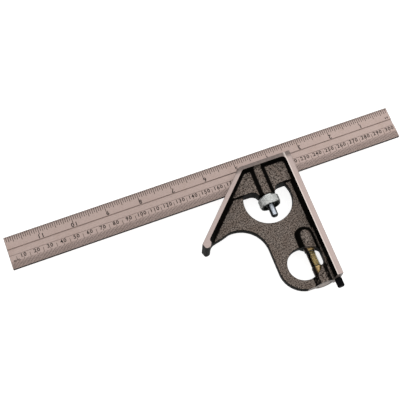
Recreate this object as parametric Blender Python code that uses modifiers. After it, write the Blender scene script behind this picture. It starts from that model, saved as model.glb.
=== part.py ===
"""Combination square: a ruled 12 inch blade that slides and clamps in a cast square head.

Lengths are millimetres in the blade's own frame: x along the blade from its left end, y up with 0 at
the blade's upper edge, z forwards from the blade's mid-plane. world() turns them into metres, with the
part lying on the back of its head and its box centred over the origin.
"""
from math import atan2, cos, pi, radians, sin, sqrt, tan

import bmesh
import bpy
from mathutils import Vector

MM = 0.001

# Blade
BLADE_LENGTH = 304.8
BLADE_WIDTH = 25.4
BLADE_THICKNESS = 2.4
GROOVE_TOP = -9.8
GROOVE_BOTTOM = -14.9
GROOVE_DEPTH = 0.8

# Head outline
HEAD_THICKNESS = 21.0
SQUARE_FACE = 218.6
HEAD_TOP = -10.5
MITRE_LINE = 189.0
FOOT = -112.6
RIM_FOOT = -111.5
GRIP_SIDE = 177.4
PALM_CENTRE = (156.4, -74.6)
PALM_RADIUS = 21.0
PALM_START = 97.0
PALM_TANGENT = (160.0, -52.6)
TOE = 131.3
TOE_CORNERS = ((133.6, -61.3, 1.6), (137.2, -60.6, 1.6), (138.7, -57.6, 0.8), (149.0, -55.3, 8.0))
TOE_END = (153.8, -53.76)

# Web and rims
WEB = 3.0
RIM_RIGHT = 4.5
RIM_TOP = 2.8
RIM_MITRE = 3.25
DRAFT_RIGHT = 2.0
DRAFT_TOP = 2.4
DRAFT_MITRE = 2.8
POCKET_FILLET = 1.3
POCKET_TOE = 137.4
POCKET_TOE_DRAFT = 2.4
POCKET_OVERRUN = 9.0

# Holes through the web
BIG_HOLE = (190.8, -39.2)
BIG_HOLE_RADIUS = 18.25
SMALL_HOLE = (196.5, -94.0)
SMALL_HOLE_RADIUS = 12.1

# Blade slot and its housing
SLOT_CLEARANCE = 0.05
HOUSING = 5.5
HOUSING_FOOT = -31.0
HOUSING_RISE = 0.4
FLARE_WIDTH = 5.4
FLARE_INSET = 0.4

# Clamp
BOLT_X = 191.6
BOSS_RADIUS = 7.0
BOSS_END = -35.5
BOSS_CHAMFER = 0.6
FORK_RADIUS = 4.7
FORK_TOP = -10.9
FORK_END = -28.2
STUD_RADIUS = 2.75
STUD_END = -52.8
BORE_RADIUS = 4.8
BORE_END = -33.0
STUD_HOLE_RADIUS = 2.95
FORK_GAP = 0.15
HOOK_HALF_WIDTH = 3.0
HOOK_DEPTH = 0.8
SPRING_WIRE = 0.35
SPRING_RADIUS = 3.75
SPRING_TURNS = 3
SPRING_STEPS = 16
SPRING_GAP = 0.12
NUT_RADIUS = 8.0
NUT_COLLAR_RADIUS = 5.4
NUT_TOP = -37.1
NUT_END = -44.1
NUT_RIM = 1.9
NUT_RECESS = -40.0
NUT_HUB_RADIUS = 4.0

# Spirit level
VIAL_X = 204.8
VIAL_BOSS_RADIUS = 7.1
VIAL_BOSS_TOP = -67.4
VIAL_BOSS_DOME = 5.0
VIAL_BORE_RADIUS = 4.25
VIAL_BORE_TOP = -80.2
VIAL_WINDOW = (199.0, 211.5, -84.6, -99.6)
WINDOW_CORNER = 5.0
VIAL_RADIUS = 3.4
VIAL_WALL = 0.7
VIAL_TOP = -80.8
VIAL_END = -107.6
COLLAR_RADIUS = 3.95
COLLAR_LENGTH = 5.4
LOWER_COLLAR_TOP = -98.6
STOPPER_LENGTH = 3.4
BUBBLE_Y = -93.5
BUBBLE_SIZE = (2.3, 4.1, 1.5)
BUBBLE_INSET = 0.9
PLUG_TOP = -108.2
PLUG_SEAT = -110.5
PLUG_FLANGE_RADIUS = 5.5

# Scriber
SCRIBER_X = 215.8
SCRIBER_BOSS_RADIUS = 4.8
SCRIBER_BOSS_TOP = -69.0
SCRIBER_BOSS_COVER = 1.0
SCRIBER_RADIUS = 1.0
SCRIBER_TIP = -72.5
SCRIBER_POINT = 7.0
BUSH_RADIUS = 1.8
BUSH_TOP = -99.0
BUSH_SLIT = 0.6
KNOB_RADIUS = 2.65
KNOB_TOP = -111.7
KNOB_END = -118.5

FIT = 0.06
END_GAP = 0.1
HALF_HEAD = HEAD_THICKNESS / 2
HALF_BLADE = BLADE_THICKNESS / 2
PROUD = 1.5
ROUND_STEPS = 24
BOSS_PHASE = 4.0


def world(x, y, z=0.0):
    """Metres in the part's frame for a point given in millimetres in the blade's frame."""
    return Vector((x - BLADE_LENGTH / 2, y - KNOB_END / 2, z + HALF_HEAD)) * MM


def clear_scene():
    for obj in list(bpy.data.objects):
        bpy.data.objects.remove(obj, do_unlink=True)


def new_collection(name):
    collection = bpy.data.collections.new(name)
    bpy.context.scene.collection.children.link(collection)
    return collection


def material(name, colour, roughness, metallic):
    mat = bpy.data.materials.new(name)
    mat.use_nodes = True
    mat.diffuse_color = (*colour, 1.0)
    shader = mat.node_tree.nodes["Principled BSDF"]
    shader.inputs["Base Color"].default_value = (*colour, 1.0)
    shader.inputs["Roughness"].default_value = roughness
    shader.inputs["Metallic"].default_value = metallic
    return mat


def piece(name, mesh, collection, location=(0, 0, 0), mat=None):
    obj = bpy.data.objects.new(name, mesh)
    obj.location = location
    collection.objects.link(obj)
    if mat:
        obj.data.materials.append(mat)
    return obj


def as_cutter(obj):
    obj.hide_render = True
    obj.display_type = "WIRE"
    return obj


def boolean(target, tool, operation="DIFFERENCE"):
    modifier = target.modifiers.new(tool.name, "BOOLEAN")
    modifier.operation = operation
    modifier.object = tool
    modifier.solver = "EXACT"


def bevel(obj, width, segments=2, angle=50):
    modifier = obj.modifiers.new("soft_edges", "BEVEL")
    modifier.width = width * MM
    modifier.segments = segments
    modifier.limit_method = "ANGLE"
    modifier.angle_limit = radians(angle)


def arc(centre, radius, start, end, steps):
    """Points on a circle from start to end degrees, both ends included."""
    angles = [radians(start + (end - start) * i / steps) for i in range(steps + 1)]
    return [(centre[0] + radius * cos(a), centre[1] + radius * sin(a)) for a in angles]


def rounded(corners, steps=5):
    """An outline from corners (x, y, radius), each turned into an arc that touches both its sides."""
    outline = []
    for i, (x, y, radius) in enumerate(corners):
        corner = Vector((x, y))
        if radius == 0:
            outline.append((x, y))
            continue
        before = (Vector(corners[i - 1][:2]) - corner).normalized()
        after = (Vector(corners[(i + 1) % len(corners)][:2]) - corner).normalized()
        half = before.angle(after) / 2
        centre = corner + (before + after).normalized() * radius / sin(half)
        start = corner + before * radius / tan(half) - centre
        end = corner + after * radius / tan(half) - centre
        first = atan2(start.y, start.x)
        sweep = (atan2(end.y, end.x) - first + pi) % (2 * pi) - pi
        outline += arc(centre, radius, first * 180 / pi, (first + sweep) * 180 / pi, steps)
    return outline


def plate(name, outline, half_thickness, collection, mat=None):
    """A flat outline, filled and given its thickness as a 2D curve, then made a mesh."""
    curve = bpy.data.curves.new(name, "CURVE")
    curve.dimensions = "2D"
    curve.fill_mode = "BOTH"
    curve.extrude = half_thickness * MM
    spline = curve.splines.new("POLY")
    spline.points.add(len(outline) - 1)
    for point, (x, y) in zip(spline.points, outline):
        place = world(x, y)
        point.co = (place.x, place.y, 0, 1)
    spline.use_cyclic_u = True
    source = bpy.data.objects.new(name + "_curve", curve)
    collection.objects.link(source)
    depsgraph = bpy.context.evaluated_depsgraph_get()
    mesh = bpy.data.meshes.new_from_object(source.evaluated_get(depsgraph))
    bpy.data.objects.remove(source, do_unlink=True)
    bm = bmesh.new()
    bm.from_mesh(mesh)
    bmesh.ops.remove_doubles(bm, verts=bm.verts, dist=1e-6)
    bmesh.ops.dissolve_limit(bm, angle_limit=radians(1), verts=bm.verts, edges=bm.edges)
    bm.to_mesh(mesh)
    bm.free()
    return piece(name, mesh, collection, (0, 0, HALF_HEAD * MM), mat)


def loft(name, low, z_low, high, z_high, collection):
    """A closed solid between two outlines with the same number of points at two heights."""
    bm = bmesh.new()
    floor = bm.faces.new([bm.verts.new(world(x, y, z_low)) for x, y in low])
    lifted = bmesh.ops.extrude_face_region(bm, geom=[floor])["geom"]
    top = next(item for item in lifted if isinstance(item, bmesh.types.BMFace))
    for vertex in top.verts:
        nearest = min(range(len(low)), key=lambda i: (world(*low[i], z_low) - vertex.co).length)
        vertex.co = world(*high[nearest], z_high)
    bmesh.ops.recalc_face_normals(bm, faces=bm.faces)
    mesh = bpy.data.meshes.new(name)
    bm.to_mesh(mesh)
    bm.free()
    return piece(name, mesh, collection)


def box(name, low, high, collection, mat=None):
    """A box between two corners in millimetres."""
    first = world(*low)
    last = world(*high)
    centre = (first + last) / 2
    bm = bmesh.new()
    bmesh.ops.create_cube(bm, size=1.0)
    bmesh.ops.scale(bm, vec=last - first, verts=bm.verts)
    mesh = bpy.data.meshes.new(name)
    bm.to_mesh(mesh)
    bm.free()
    return piece(name, mesh, collection, centre, mat)


def cylinder_z(name, centre, radius, collection, steps):
    """A cutter through the whole head, with its axis along z."""
    bm = bmesh.new()
    depth = (HEAD_THICKNESS + 2 * PROUD) * MM
    width = radius * MM
    bmesh.ops.create_cone(bm, cap_ends=True, segments=steps, radius1=width, radius2=width, depth=depth)
    mesh = bpy.data.meshes.new(name)
    bm.to_mesh(mesh)
    bm.free()
    return piece(name, mesh, collection, world(*centre))


def turned(name, profile, x, y, collection, mat=None, steps=ROUND_STEPS, phase=0.0):
    """A solid turned about a line along y; the profile is (radius, y), ending on the axis or closed."""
    bm = bmesh.new()
    start = Vector((cos(radians(phase)), sin(radians(phase)), 0)) * MM
    ring = [bm.verts.new(start * radius + Vector((0, 0, height - y)) * MM) for radius, height in profile]
    for first, second in zip(ring, ring[1:]):
        bm.edges.new((first, second))
    if profile[0][0] > 0:
        bm.edges.new((ring[-1], ring[0]))
    mesh = bpy.data.meshes.new(name)
    bm.to_mesh(mesh)
    bm.free()
    obj = piece(name, mesh, collection, world(x, y), mat)
    obj.rotation_euler = (-pi / 2, 0, 0)
    screw = obj.modifiers.new("turned", "SCREW")
    screw.steps = steps
    screw.render_steps = steps
    screw.use_merge_vertices = True
    screw.merge_threshold = 1e-6
    screw.use_smooth_shade = False
    return obj


def head_outline():
    """Round the head from its upper right corner: mitre face, toe, palm curve, heel and foot."""
    start = rounded([
        (SQUARE_FACE, HEAD_TOP, 0),
        (HEAD_TOP + MITRE_LINE, HEAD_TOP, 0),
        (TOE, TOE - MITRE_LINE, 1.0),
        *TOE_CORNERS,
        (*TOE_END, 0),
        (*PALM_TANGENT, 0),
    ])[:-2]
    palm = arc(PALM_CENTRE, PALM_RADIUS, PALM_START, 0, 16)
    heel_radius = SMALL_HOLE[0] - GRIP_SIDE
    heel = arc(SMALL_HOLE, heel_radius, 180, 270, 12)
    return start + palm + heel[:-1] + [(SMALL_HOLE[0], FOOT - PROUD), (SQUARE_FACE, FOOT - PROUD)]


def pocket_outline(z):
    """The recess inside the rims at a height above the blade's mid-plane, wider towards the front."""
    rise = (HALF_HEAD - z) / (HALF_HEAD - WEB)
    right = SQUARE_FACE - RIM_RIGHT - DRAFT_RIGHT * rise
    top = HEAD_TOP - RIM_TOP - DRAFT_TOP * rise
    line = MITRE_LINE + (RIM_MITRE + DRAFT_MITRE * rise) * sqrt(2)
    toe = POCKET_TOE + POCKET_TOE_DRAFT * rise
    open_side = toe + POCKET_OVERRUN
    return rounded([
        (right, top, 3.0),
        (line + top, top, 2.0),
        (toe, toe - line, 2.0),
        (open_side, toe - line - POCKET_OVERRUN, 0),
        (open_side, FOOT - POCKET_OVERRUN, 0),
        (right, FOOT - POCKET_OVERRUN, 0),
    ], 4)


def housing_outline():
    """The block round the blade slot; its lower edge sweeps down into the clamp boss."""
    height = HOUSING_FOOT - BOSS_END - FLARE_INSET
    side = BOSS_RADIUS - FLARE_INSET
    inside = MITRE_LINE + RIM_MITRE / 2 * sqrt(2)
    right = SQUARE_FACE - RIM_RIGHT / 2
    top = HEAD_TOP - RIM_TOP / 2
    quarter = arc((0, 0), 1.0, 90, 0, 4)
    left_flare = [(BOLT_X - side - FLARE_WIDTH * (1 - x), HOUSING_FOOT - height * (1 - y))
                  for x, y in quarter]
    right_flare = [(2 * BOLT_X - x, y) for x, y in reversed(left_flare)]
    return [
        (right, top),
        (inside + top, top),
        (inside + HOUSING_FOOT + HOUSING_RISE, HOUSING_FOOT + HOUSING_RISE),
        *left_flare,
        *right_flare,
        (right, HOUSING_FOOT + HOUSING_RISE / 2),
    ]


def dome(radius, top, depth, steps=5):
    """The (radius, y) points of a domed end of some depth, from its pole down to its rim."""
    return [(radius * sin(a), top - depth + depth * cos(a))
            for a in [pi / 2 * i / steps for i in range(steps + 1)]]


def build_head(parts, cutters):
    enamel = material("head_enamel", (0.115, 0.095, 0.085), 0.42, 0.0)
    head = plate("head_casting", head_outline(), HALF_HEAD, parts, enamel)

    mouth = HALF_HEAD + PROUD
    for side, label in ((1, "front"), (-1, "back")):
        pocket = loft("pocket_" + label, pocket_outline(WEB), side * WEB,
                      pocket_outline(mouth), side * mouth, cutters)
        bevel(pocket, POCKET_FILLET, 2)
        boolean(head, as_cutter(pocket))

    boolean(head, as_cutter(cylinder_z("big_hole", BIG_HOLE, BIG_HOLE_RADIUS, cutters, 48)))

    housing = plate("slot_housing", housing_outline(), HOUSING, cutters)
    boolean(head, as_cutter(housing), "UNION")

    boss_top = HEAD_TOP - RIM_TOP / 2
    clamp_boss = turned("clamp_boss", [(0, boss_top), (BOSS_RADIUS, boss_top),
                                       (BOSS_RADIUS, BOSS_END + BOSS_CHAMFER),
                                       (BOSS_RADIUS - BOSS_CHAMFER, BOSS_END), (0, BOSS_END)],
                        BOLT_X, BOSS_END, cutters, phase=BOSS_PHASE)
    boolean(head, as_cutter(clamp_boss), "UNION")

    below = FOOT - PROUD
    vial_boss = turned("vial_boss", dome(VIAL_BOSS_RADIUS, VIAL_BOSS_TOP, VIAL_BOSS_DOME)
                       + [(VIAL_BOSS_RADIUS, below), (0, below)],
                       VIAL_X, FOOT, cutters, phase=BOSS_PHASE)
    boolean(head, as_cutter(vial_boss), "UNION")

    scriber_boss = turned("scriber_boss", dome(SCRIBER_BOSS_RADIUS, SCRIBER_BOSS_TOP, SCRIBER_BOSS_RADIUS, 4)
                          + [(SCRIBER_BOSS_RADIUS, below), (0, below)],
                          SCRIBER_X, FOOT, cutters, steps=20, phase=BOSS_PHASE)
    inside_rim = box("inside_rim", (SCRIBER_X - 2 * SCRIBER_BOSS_RADIUS, below - PROUD, -HALF_HEAD),
                     (SQUARE_FACE - SCRIBER_BOSS_COVER, HEAD_TOP, HALF_HEAD), cutters)
    boolean(scriber_boss, as_cutter(inside_rim), "INTERSECT")
    boolean(head, as_cutter(scriber_boss), "UNION")

    boolean(head, as_cutter(cylinder_z("small_hole", SMALL_HOLE, SMALL_HOLE_RADIUS, cutters, 40)))

    left, right, top, bottom = VIAL_WINDOW
    window = rounded([(left, top, 0), (right, top, WINDOW_CORNER),
                      (right, bottom, WINDOW_CORNER), (left, bottom, 0)])
    boolean(head, as_cutter(plate("vial_window", window, mouth, cutters)))

    beyond = SQUARE_FACE + POCKET_OVERRUN
    low = FOOT - POCKET_OVERRUN
    foot_cut = box("foot_cut", (GRIP_SIDE - PROUD, low, -mouth), (beyond, FOOT, mouth), cutters)
    boolean(head, as_cutter(foot_cut))
    rim_start = SCRIBER_X - KNOB_RADIUS - 4 * END_GAP
    rim_cut = box("rim_cut", (rim_start, low, -mouth), (beyond, RIM_FOOT, mouth), cutters)
    boolean(head, as_cutter(rim_cut))

    half_slot = HALF_BLADE + SLOT_CLEARANCE
    slot = box("blade_slot", (TOE - POCKET_OVERRUN, -BLADE_WIDTH - SLOT_CLEARANCE, -half_slot),
               (beyond, PROUD, half_slot), cutters)
    boolean(head, as_cutter(slot))

    bore_top = HEAD_TOP + PROUD
    clamp_bore = turned("clamp_bore", [(0, bore_top), (BORE_RADIUS, bore_top),
                                       (BORE_RADIUS, BORE_END), (STUD_HOLE_RADIUS, BORE_END),
                                       (STUD_HOLE_RADIUS, BOSS_END - PROUD), (0, BOSS_END - PROUD)],
                        BOLT_X, BOSS_END, cutters)
    boolean(head, as_cutter(clamp_bore))

    seat_radius = PLUG_FLANGE_RADIUS + FIT
    vial_bore = turned("vial_bore", [(0, VIAL_BORE_TOP), (VIAL_BORE_RADIUS, VIAL_BORE_TOP),
                                     (VIAL_BORE_RADIUS, PLUG_SEAT), (seat_radius, PLUG_SEAT),
                                     (seat_radius, below), (0, below)], VIAL_X, FOOT, cutters)
    boolean(head, as_cutter(vial_bore))

    shaft_hole = SCRIBER_RADIUS + END_GAP
    bush_hole = BUSH_RADIUS + FIT
    scriber_bore = turned("scriber_bore", [(0, SCRIBER_TIP + 1.0), (shaft_hole, SCRIBER_TIP + 1.0),
                                           (shaft_hole, BUSH_TOP + 2 * END_GAP),
                                           (bush_hole, BUSH_TOP + 2 * END_GAP),
                                           (bush_hole, below), (0, below)],
                          SCRIBER_X, FOOT, cutters, steps=16)
    boolean(head, as_cutter(scriber_bore))


def build_blade(parts, cutters):
    steel = material("blade_steel", (0.50, 0.40, 0.37), 0.38, 0.85)
    blade = box("blade", (0, -BLADE_WIDTH, -HALF_BLADE), (BLADE_LENGTH, 0, HALF_BLADE), parts, steel)
    groove = box("blade_groove", (-PROUD, GROOVE_BOTTOM, HALF_BLADE - GROOVE_DEPTH),
                 (BLADE_LENGTH + PROUD, GROOVE_TOP, HALF_BLADE + PROUD), cutters)
    boolean(blade, as_cutter(groove))


def build_clamp(parts, cutters):
    bolt_steel = material("bolt_steel", (0.24, 0.27, 0.32), 0.28, 0.9)
    bolt = turned("clamp_bolt", [(0, FORK_TOP), (FORK_RADIUS - 0.4, FORK_TOP), (FORK_RADIUS, FORK_TOP - 0.4),
                                 (FORK_RADIUS, FORK_END), (STUD_RADIUS, FORK_END),
                                 (STUD_RADIUS, STUD_END + 1.0), (STUD_RADIUS - 0.9, STUD_END),
                                 (0, STUD_END)], BOLT_X, NUT_TOP, parts, bolt_steel)
    half_gap = HALF_BLADE + FORK_GAP
    reach = FORK_RADIUS + PROUD
    fork_slot = box("fork_slot", (BOLT_X - reach, -BLADE_WIDTH - 1.3, -half_gap),
                    (BOLT_X + reach, FORK_TOP + PROUD, half_gap), cutters)
    boolean(bolt, as_cutter(fork_slot))
    hook_foot = HALF_BLADE - GROOVE_DEPTH + FORK_GAP
    hook = box("bolt_hook", (BOLT_X - HOOK_HALF_WIDTH, GROOVE_BOTTOM + FORK_GAP, hook_foot),
               (BOLT_X + HOOK_HALF_WIDTH, GROOVE_TOP - 1.5, half_gap + HOOK_DEPTH), cutters)
    boolean(bolt, as_cutter(hook), "UNION")

    spring_steel = material("spring_steel", (0.45, 0.45, 0.46), 0.3, 1.0)
    curve = bpy.data.curves.new("clamp_spring", "CURVE")
    curve.dimensions = "3D"
    curve.bevel_depth = SPRING_WIRE * MM
    curve.bevel_resolution = 2
    curve.use_fill_caps = True
    spline = curve.splines.new("POLY")
    top = FORK_END - SPRING_WIRE - SPRING_GAP
    bottom = BORE_END + SPRING_WIRE + SPRING_GAP
    count = SPRING_TURNS * SPRING_STEPS
    spline.points.add(count)
    for i, point in enumerate(spline.points):
        turn = 2 * pi * i / SPRING_STEPS
        along = top + (bottom - top) * i / count - NUT_TOP
        place = Vector((SPRING_RADIUS * cos(turn), along, SPRING_RADIUS * sin(turn))) * MM
        point.co = (*place, 1)
    piece("clamp_spring", curve, parts, world(BOLT_X, NUT_TOP), spring_steel)

    zinc = material("nut_zinc", (0.62, 0.63, 0.62), 0.35, 0.8)
    hole = STUD_RADIUS + FIT
    collar_top = BOSS_END - SPRING_GAP
    recess_radius = NUT_RADIUS - NUT_RIM
    hub_end = NUT_END + 1.0
    turned("clamp_nut", [(hole, collar_top), (NUT_COLLAR_RADIUS, collar_top),
                         (NUT_COLLAR_RADIUS, NUT_TOP), (NUT_RADIUS - 0.6, NUT_TOP),
                         (NUT_RADIUS, NUT_TOP - 0.6), (NUT_RADIUS, NUT_END + 0.9),
                         (NUT_RADIUS - 0.9, NUT_END), (recess_radius, NUT_END + 0.5),
                         (recess_radius - 0.2, NUT_RECESS), (NUT_HUB_RADIUS, NUT_RECESS),
                         (NUT_HUB_RADIUS - 0.4, hub_end), (hole, hub_end)],
           BOLT_X, NUT_TOP, parts, zinc, steps=36)


def build_vial(parts, cutters):
    acrylic = material("vial_glass", (0.72, 0.66, 0.45), 0.08, 0.0)
    inner = VIAL_RADIUS - VIAL_WALL
    end_wall = VIAL_TOP - 0.8
    turned("vial_glass", [(0, VIAL_TOP), (VIAL_RADIUS - 1.0, VIAL_TOP), (VIAL_RADIUS, VIAL_TOP - 1.0),
                          (VIAL_RADIUS, VIAL_END), (inner, VIAL_END), (inner, end_wall - 0.6),
                          (inner - 0.6, end_wall), (0, end_wall)], VIAL_X, VIAL_END, parts, acrylic)

    yellow = material("vial_spirit", (0.62, 0.50, 0.12), 0.1, 0.0)
    stopper_top = VIAL_END + STOPPER_LENGTH
    spirit_radius = inner - FIT
    spirit_top = end_wall - 0.15
    spirit_end = stopper_top + END_GAP
    spirit = turned("vial_spirit", [(0, spirit_top), (spirit_radius - 0.6, spirit_top),
                                    (spirit_radius, spirit_top - 0.6), (spirit_radius, spirit_end),
                                    (0, spirit_end)], VIAL_X, VIAL_END, parts, yellow)
    bm = bmesh.new()
    bmesh.ops.create_uvsphere(bm, u_segments=16, v_segments=10, radius=1.0)
    bmesh.ops.scale(bm, vec=Vector(BUBBLE_SIZE) * MM, verts=bm.verts)
    mesh = bpy.data.meshes.new("bubble")
    bm.to_mesh(mesh)
    bm.free()
    bubble = piece("bubble", mesh, cutters, world(VIAL_X, BUBBLE_Y, spirit_radius - BUBBLE_INSET))
    boolean(spirit, as_cutter(bubble))

    stopper = material("vial_stopper", (0.55, 0.42, 0.16), 0.35, 0.6)
    turned("vial_stopper", [(0, stopper_top), (spirit_radius, stopper_top),
                            (spirit_radius, VIAL_END + END_GAP), (0, VIAL_END + END_GAP)],
           VIAL_X, VIAL_END, parts, stopper)

    plug_metal = material("vial_plug", (0.42, 0.36, 0.34), 0.4, 0.8)
    stub_radius = VIAL_BORE_RADIUS - FIT
    seat = PLUG_SEAT - FIT
    turned("vial_plug", [(0, PLUG_TOP), (stub_radius, PLUG_TOP), (stub_radius, seat),
                         (PLUG_FLANGE_RADIUS, seat), (PLUG_FLANGE_RADIUS, FOOT + FIT),
                         (0, FOOT + FIT)], VIAL_X, VIAL_END, parts, plug_metal)

    brass = material("collar_brass", (0.52, 0.38, 0.14), 0.35, 0.9)
    hole = VIAL_RADIUS + FIT
    for name, top in (("vial_collar_upper", VIAL_TOP), ("vial_collar_lower", LOWER_COLLAR_TOP)):
        end = top - COLLAR_LENGTH
        turned(name, [(hole, top), (COLLAR_RADIUS, top), (COLLAR_RADIUS, end), (hole, end)],
               VIAL_X, top, parts, brass)


def build_scriber(parts, cutters):
    steel = material("scriber_steel", (0.5, 0.5, 0.52), 0.25, 1.0)
    turned("scriber_shaft", [(0, SCRIBER_TIP), (SCRIBER_RADIUS, SCRIBER_TIP - SCRIBER_POINT),
                             (SCRIBER_RADIUS, KNOB_END + 1.0), (0, KNOB_END + 1.0)],
           SCRIBER_X, KNOB_TOP, parts, steel, steps=16)
    black = material("knob_black", (0.015, 0.015, 0.016), 0.45, 0.0)
    hole = SCRIBER_RADIUS + FIT
    socket = KNOB_END + 1.0 - END_GAP
    turned("scriber_knob", [(0, socket), (hole, socket), (hole, KNOB_TOP), (KNOB_RADIUS - 0.4, KNOB_TOP),
                            (KNOB_RADIUS, KNOB_TOP - 0.4), (KNOB_RADIUS, KNOB_END + 0.5),
                            (KNOB_RADIUS - 0.5, KNOB_END), (0, KNOB_END)],
           SCRIBER_X, KNOB_TOP, parts, black, steps=24)
    brass = material("bush_brass", (0.55, 0.40, 0.15), 0.3, 1.0)
    bush_end = RIM_FOOT + END_GAP
    bush = turned("scriber_bush", [(hole, BUSH_TOP), (BUSH_RADIUS, BUSH_TOP), (BUSH_RADIUS, bush_end),
                                   (hole, bush_end)], SCRIBER_X, BUSH_TOP, parts, brass, steps=16)
    half_slit = BUSH_SLIT / 2
    slit = box("bush_slit", (SCRIBER_X - half_slit, RIM_FOOT - PROUD, 0.2),
               (SCRIBER_X + half_slit, BUSH_TOP + PROUD, BUSH_RADIUS + PROUD), cutters)
    boolean(bush, as_cutter(slit))


def main():
    clear_scene()
    parts = new_collection("combination_square")
    cutters = new_collection("cutters")
    build_head(parts, cutters)
    build_blade(parts, cutters)
    build_clamp(parts, cutters)
    build_vial(parts, cutters)
    build_scriber(parts, cutters)


main()
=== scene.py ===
"""Looks of a combination square: a cast head with a sliding ruled blade, a clamp, a level and a scriber.

Lengths are millimetres in the blade's frame: x along the blade from its left end, y up with 0 at its
upper edge, z forwards from its mid-plane. place() turns them into metres in the model's frame.
"""
from math import atan2, cos, pi, radians, sin, sqrt, tan

import bmesh
import bpy
from mathutils import Matrix, Vector


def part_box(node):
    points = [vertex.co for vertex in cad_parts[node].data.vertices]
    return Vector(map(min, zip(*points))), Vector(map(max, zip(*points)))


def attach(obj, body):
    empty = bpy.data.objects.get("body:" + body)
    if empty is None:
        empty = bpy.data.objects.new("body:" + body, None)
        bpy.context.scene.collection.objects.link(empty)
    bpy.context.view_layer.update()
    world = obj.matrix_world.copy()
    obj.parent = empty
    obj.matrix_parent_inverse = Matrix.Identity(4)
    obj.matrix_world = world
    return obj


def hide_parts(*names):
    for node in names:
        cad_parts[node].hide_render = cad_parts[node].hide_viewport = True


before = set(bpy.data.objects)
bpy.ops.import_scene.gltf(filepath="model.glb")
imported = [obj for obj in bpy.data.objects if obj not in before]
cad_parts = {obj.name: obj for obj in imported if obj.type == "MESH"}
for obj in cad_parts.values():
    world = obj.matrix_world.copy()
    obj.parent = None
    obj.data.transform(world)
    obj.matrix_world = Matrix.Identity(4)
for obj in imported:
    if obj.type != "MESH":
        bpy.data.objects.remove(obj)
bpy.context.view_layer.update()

MM = 0.001
BLADE_LOW, BLADE_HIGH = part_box("blade")
ORIGIN = Vector((BLADE_LOW.x, BLADE_HIGH.y, (BLADE_LOW.z + BLADE_HIGH.z) / 2))


def place(x, y, z=0.0):
    return ORIGIN + Vector((x, y, z)) * MM


def corners(node):
    """A CAD node's lowest and highest corners in the blade's frame, in millimetres."""
    return [(corner - ORIGIN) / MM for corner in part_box(node)]


def axis_x(node):
    low, high = corners(node)
    return (low.x + high.x) / 2


HEAD_LOW, HEAD_HIGH = corners("head_casting")
BLADE = corners("blade")[1]
BLADE_WIDTH = -corners("blade")[0].y
HALF_BLADE = BLADE.z
HALF_HEAD = HEAD_HIGH.z
SQUARE_FACE = HEAD_HIGH.x
HEAD_TOP = HEAD_HIGH.y
FOOT = HEAD_LOW.y

GROOVE = (-9.8, -14.9)
GROOVE_DEPTH = 0.8

MITRE_LINE = 189.0
RIM_FOOT = -111.5
GRIP_SIDE = 177.4
PALM_CENTRE = (156.4, -74.6)
PALM_RADIUS = 21.0
PALM_START = 97.0
PALM_TANGENT = (160.0, -52.6)
TOE = 131.3
TOE_CORNERS = ((133.6, -61.3, 1.6), (137.2, -60.6, 1.6), (138.7, -57.6, 0.8), (149.0, -55.3, 8.0))
TOE_END = (153.8, -53.76)
WEB = 3.0
RIM_RIGHT = 4.5
RIM_TOP = 2.8
RIM_MITRE = 3.25
DRAFT_RIGHT = 2.0
DRAFT_TOP = 2.4
DRAFT_MITRE = 2.8
POCKET_TOE = 137.4
POCKET_TOE_DRAFT = 2.4
BIG_HOLE = (190.8, -39.2, 18.25)
SMALL_HOLE = (196.5, -94.0, 12.1)
HOUSING = 5.5
HOUSING_FOOT = -31.0
FLARE_WIDTH = 5.4

BOLT_X = axis_x("clamp_nut")
BOSS_RADIUS = 7.0
BOSS_END = -35.5
BORE_RADIUS = 4.8
BORE_END = -33.0
STUD_BORE_RADIUS = 2.95
STUD_RADIUS = 2.75
THREAD_PITCH = 0.9
THREAD_DEPTH = 0.22
FORK = (4.7, -10.9, -28.2)
NUT_BORE_RADIUS = 2.81
COLLAR_RADIUS = 5.4
COLLAR_FOOT = -37.1
KNURL_DEPTH = 0.30
KNURL_COUNT = 46
KNURL_LEAN = 1.7
COIL_RADIUS = 3.75
WIRE_RADIUS = 0.35

VIAL_X = axis_x("vial_glass")
VIAL_BOSS = (7.1, -67.4, 5.0)
VIAL_BORE_RADIUS = 4.25
VIAL_BORE_TOP = -80.2
VIAL_WINDOW = (199.0, 211.5, -84.6, -99.6)
PLUG_SEAT = -110.5
PLUG_SEAT_RADIUS = 5.56
GLASS_WALL = 0.7
CLEARANCE = 0.06
BUBBLE_Y = -93.5
BUBBLE_RADII = (2.35, 4.3, 1.5)
MENISCUS_RADIUS = 1.75
RING_HEIGHTS = (-86.7, -88.3, -98.1)

SCRIBER_X = axis_x("scriber_knob")
SCRIBER_BOSS = (4.8, -69.0, 4.8)
SCRIBER_BORE = (1.1, -71.5)
BUSH_BORE = (1.86, -98.8)
KNOB_BORE_RADIUS = 1.06

# How far the casting stands proud before grinding, and how its skin is remeshed, smoothed and thinned
PROUD = 2.2
SKIN_VOXEL = 0.42
SKIN_PASSES = 12
SKIN_KEPT = 0.22

# Painted shade in the enamel: a black band beside a boss, with a painted highlight strip down its front:
# the boss's x and crown, how far the strip stands off its axis, the strip's and the shade band's half
# widths, the lower end, and how far forwards the strip goes
BOSS_SHADE_AND_HIGHLIGHT = ((BOLT_X, HEAD_TOP, 0.2, 3.0, 6.0, BOSS_END - 4, HALF_HEAD),
         (VIAL_X, -74.5, 0.6, 4.2, 7.1, -90.0, HALF_HEAD),
         (SCRIBER_X - 3.0, -72.0, 0.0, 1.5, 0.0, FOOT, SCRIBER_BOSS[0]))


# ---------------------------------------------------------------- shapes

def mesh_object(name, bm, materials=()):
    mesh = bpy.data.meshes.new(name)
    bm.to_mesh(mesh)
    bm.free()
    obj = bpy.data.objects.new(name, mesh)
    bpy.context.scene.collection.objects.link(obj)
    for mat in materials:
        mesh.materials.append(mat)
    return obj


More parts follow.
